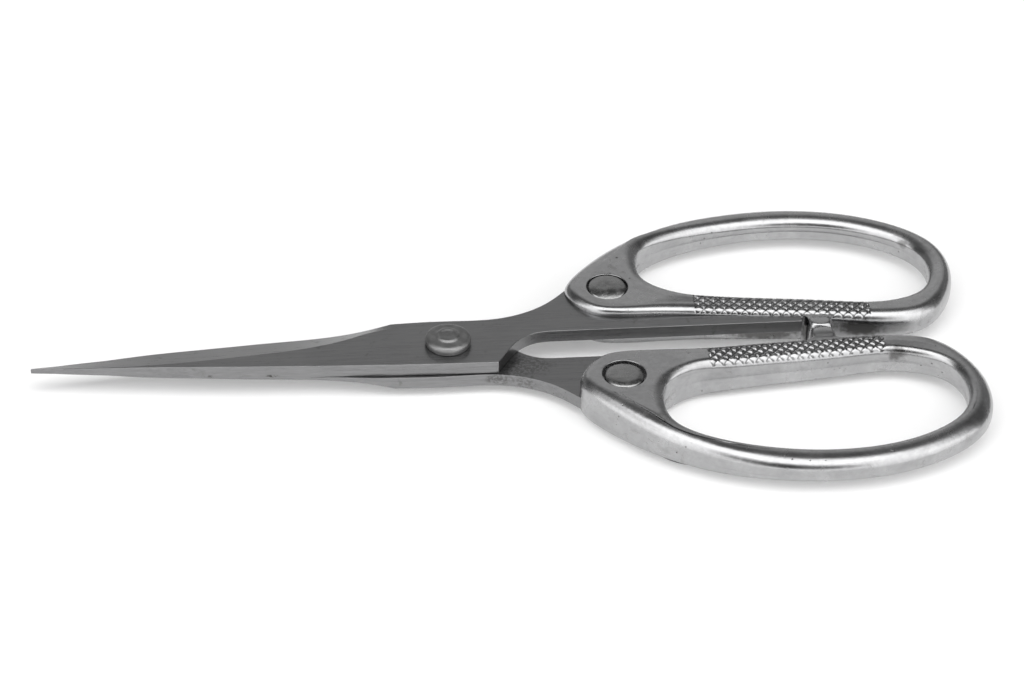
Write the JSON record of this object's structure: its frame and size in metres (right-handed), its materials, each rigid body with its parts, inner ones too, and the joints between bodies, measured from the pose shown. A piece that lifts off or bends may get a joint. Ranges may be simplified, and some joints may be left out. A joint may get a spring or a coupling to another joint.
{
  "type": "scissors",
  "caption": "Straight-bladed scissors with bevelled pointed blades on a riveted pivot and cast metal finger rings with a knurled inner bar, for cutting cloth and thread.",
  "frame": {"origin": "centre of the closed scissors' bounding box at its lowest plane, which is the underside of both handle eyes", "axes": "+X runs from the blade tips to the finger rings, +Y towards the upper blade's own finger ring, +Z out of the upper blade's outer face, along the pivot axis"},
  "size_m": [0.1894, 0.0866, 0.0095],
  "materials": {
    "blade_steel": "satin steel ground lengthwise, with small stains and pits",
    "cast_handle_metal": "cast white metal, polished on the ring and satin on the flat eye",
    "rivet_steel": "turned steel, worn smooth"
  },
  "bodies": {
    "lower_half": {"lower_blade": "blade_steel", "front_handle": "cast_handle_metal", "front_handle_rivet": "rivet_steel", "pivot_rivet": "rivet_steel"},
    "upper_half": {"upper_blade": "blade_steel", "rear_handle": "cast_handle_metal", "rear_handle_rivet": "rivet_steel"}
  },
  "joints": [
    {"name": "blade_pivot", "type": "hinge", "parent": "lower_half", "child": "upper_half", "pos_m": [-0.01169, 0, 0.0045], "axis": [0, 0, 1], "range_deg": [0, 60]}
  ]
}
